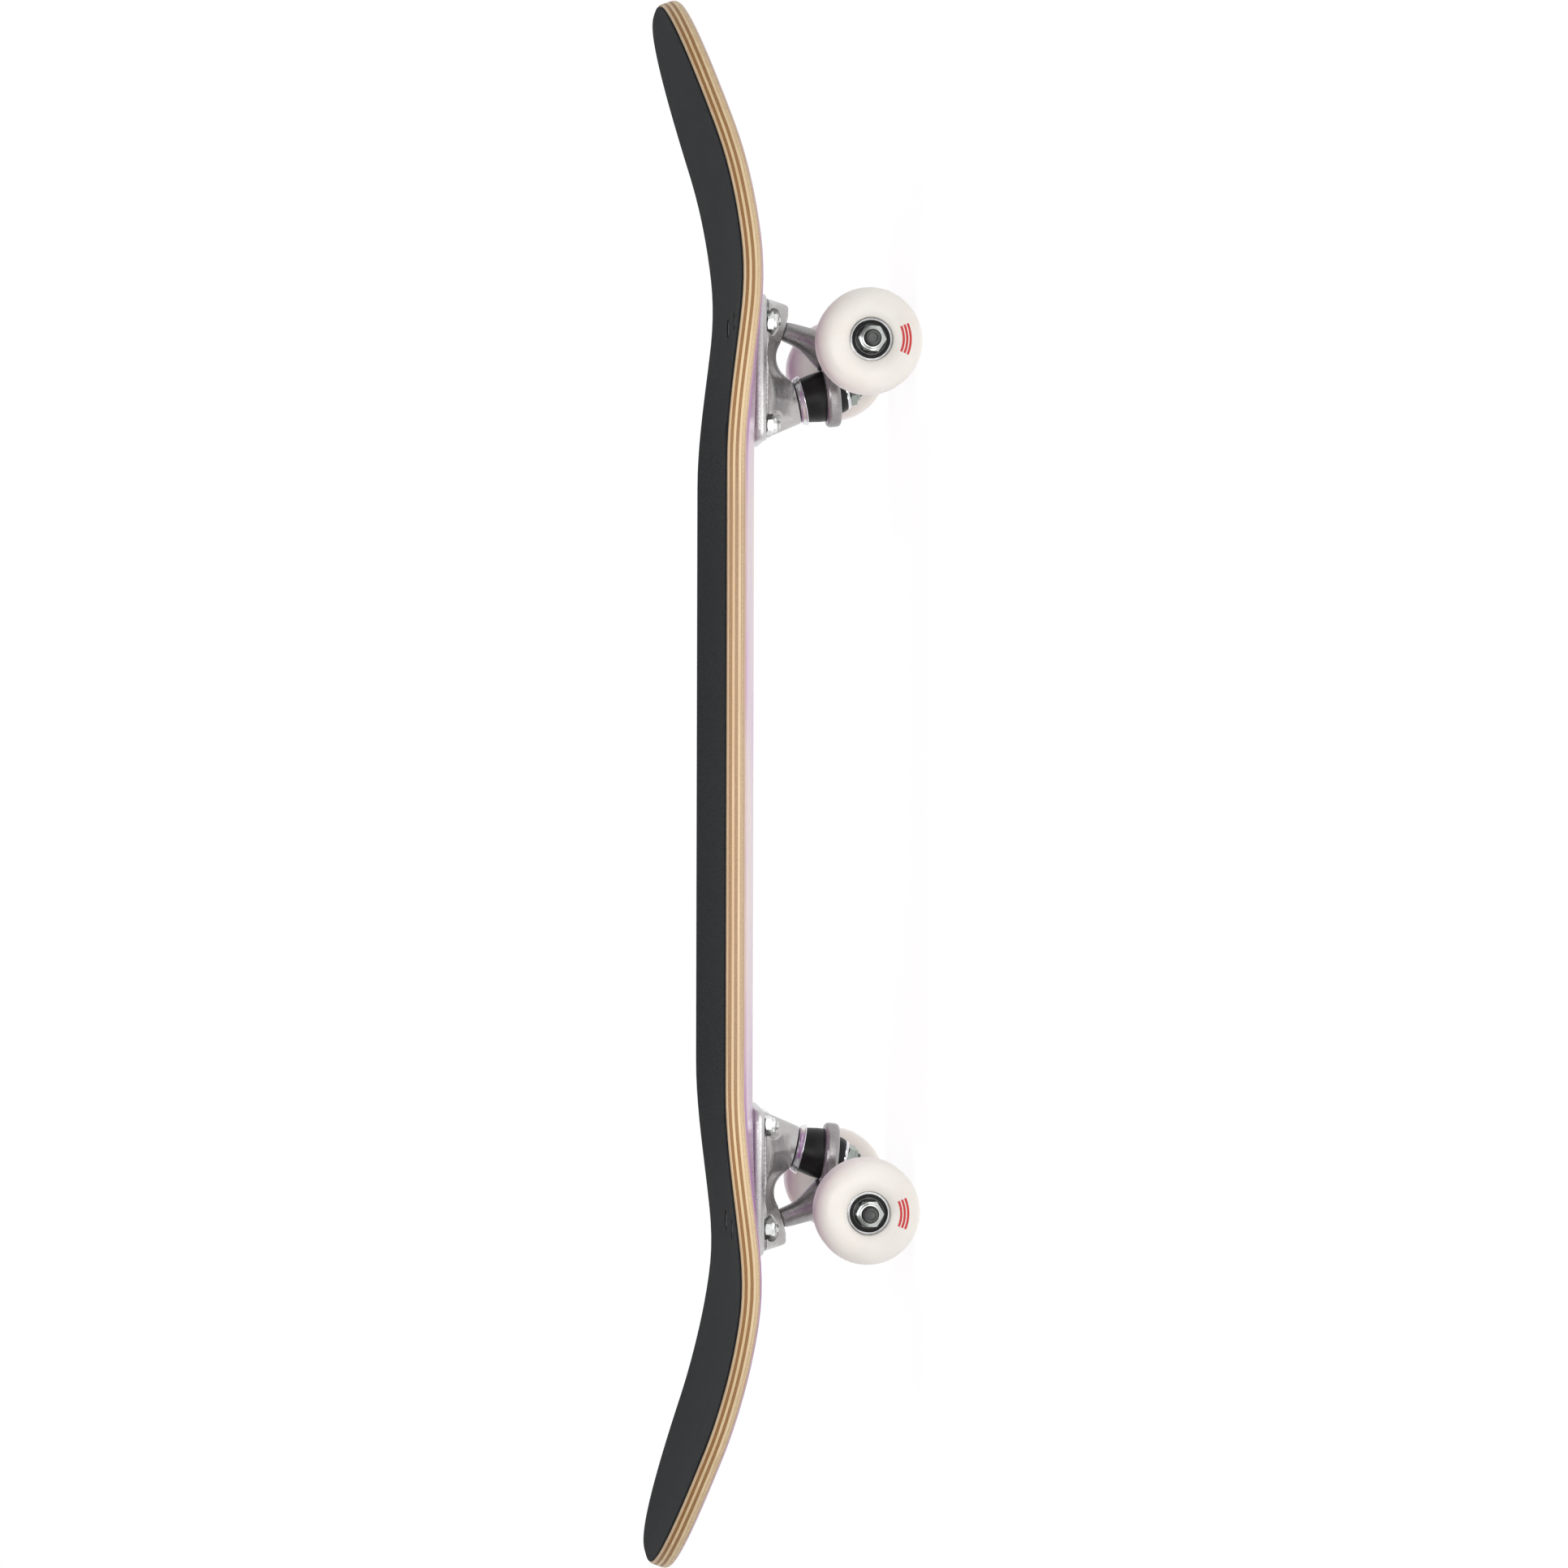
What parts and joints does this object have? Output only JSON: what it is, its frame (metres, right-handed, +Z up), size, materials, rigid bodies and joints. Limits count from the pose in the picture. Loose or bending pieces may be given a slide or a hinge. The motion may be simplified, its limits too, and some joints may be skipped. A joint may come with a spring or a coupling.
{
  "type": "skateboard",
  "caption": "Double-kick skateboard: concave plywood deck with grip tape, kingpin trucks that steer on bushings, and urethane wheels rolling on ball bearings.",
  "frame": {"origin": "middle of the overall box, on the ground under the wheels", "axes": "+X along the board towards the nose, +Y across to the board's left, +Z up"},
  "size_m": [0.8204, 0.2108, 0.135],
  "materials": {
    "maple": "laminated veneer edge, gloss-stained underside",
    "grip": "fine abrasive grit",
    "cast_aluminium": "as cast, tumbled",
    "hanger_aluminium": "satin cast",
    "zinc_steel": "bright zinc plate",
    "chrome": "polished",
    "bushing_urethane": "smooth moulded",
    "wheel_urethane": "smooth cast, satin",
    "bearing_steel": "ground races, stamped shields"
  },
  "bodies": {
    "deck": {"deck": "maple", "grip_tape": "grip", "front_baseplate": "cast_aluminium", "front_pivot_cup": "bushing_urethane", "front_kingpin": "zinc_steel", "front_lower_cup_washer": "chrome", "front_lower_bushing": "bushing_urethane", "front_upper_bushing": "bushing_urethane", "front_upper_cup_washer": "chrome", "front_kingpin_nut": "zinc_steel", "front_bolt_1": "zinc_steel", "front_lock_nut_1": "zinc_steel", "front_bolt_2": "zinc_steel", "front_lock_nut_2": "zinc_steel", "front_bolt_3": "zinc_steel", "front_lock_nut_3": "zinc_steel", "front_bolt_4": "zinc_steel", "front_lock_nut_4": "zinc_steel", "rear_baseplate": "cast_aluminium", "rear_pivot_cup": "bushing_urethane", "rear_kingpin": "zinc_steel", "rear_lower_cup_washer": "chrome", "rear_lower_bushing": "bushing_urethane", "rear_upper_bushing": "bushing_urethane", "rear_upper_cup_washer": "chrome", "rear_kingpin_nut": "zinc_steel", "rear_bolt_1": "zinc_steel", "rear_lock_nut_1": "zinc_steel", "rear_bolt_2": "zinc_steel", "rear_lock_nut_2": "zinc_steel", "rear_bolt_3": "zinc_steel", "rear_lock_nut_3": "zinc_steel", "rear_bolt_4": "zinc_steel", "rear_lock_nut_4": "zinc_steel"},
    "front_truck": {"front_hanger": "hanger_aluminium", "front_axle": "zinc_steel", "front_left_bearing_sleeve": "bearing_steel", "front_left_axle_nut": "zinc_steel", "front_right_bearing_sleeve": "bearing_steel", "front_right_axle_nut": "zinc_steel"},
    "rear_truck": {"rear_hanger": "hanger_aluminium", "rear_axle": "zinc_steel", "rear_left_bearing_sleeve": "bearing_steel", "rear_left_axle_nut": "zinc_steel", "rear_right_bearing_sleeve": "bearing_steel", "rear_right_axle_nut": "zinc_steel"},
    "front_left_wheel": {"front_left_wheel": "wheel_urethane", "front_left_outer_bearing": "bearing_steel", "front_left_inner_bearing": "bearing_steel"},
    "front_right_wheel": {"front_right_wheel": "wheel_urethane", "front_right_outer_bearing": "bearing_steel", "front_right_inner_bearing": "bearing_steel"},
    "rear_left_wheel": {"rear_left_wheel": "wheel_urethane", "rear_left_outer_bearing": "bearing_steel", "rear_left_inner_bearing": "bearing_steel"},
    "rear_right_wheel": {"rear_right_wheel": "wheel_urethane", "rear_right_outer_bearing": "bearing_steel", "rear_right_inner_bearing": "bearing_steel"}
  },
  "joints": [
    {"name": "front_steer", "type": "hinge", "parent": "deck", "child": "front_truck", "pos_m": [0.19627, 0, 0.03799], "axis": [0.7607, 0, 0.6491], "range_deg": [-15, 15], "stiffness_Nm_per_rad": 45, "deforming": ["front_lower_bushing", "front_upper_bushing"]},
    {"name": "rear_steer", "type": "hinge", "parent": "deck", "child": "rear_truck", "pos_m": [-0.20697, 0, 0.03799], "axis": [-0.7607, 0, 0.6491], "range_deg": [-15, 15], "stiffness_Nm_per_rad": 45, "deforming": ["rear_lower_bushing", "rear_upper_bushing"]},
    {"name": "front_left_wheel_spin", "type": "hinge", "parent": "front_truck", "child": "front_left_wheel", "pos_m": [0.21655, 0.08315, 0.027], "axis": [0, 1, 0], "continuous": true},
    {"name": "front_right_wheel_spin", "type": "hinge", "parent": "front_truck", "child": "front_right_wheel", "pos_m": [0.21655, -0.08315, 0.027], "axis": [0, 1, 0], "continuous": true},
    {"name": "rear_left_wheel_spin", "type": "hinge", "parent": "rear_truck", "child": "rear_left_wheel", "pos_m": [-0.22725, 0.08315, 0.027], "axis": [0, 1, 0], "continuous": true},
    {"name": "rear_right_wheel_spin", "type": "hinge", "parent": "rear_truck", "child": "rear_right_wheel", "pos_m": [-0.22725, -0.08315, 0.027], "axis": [0, 1, 0], "continuous": true}
  ]
}
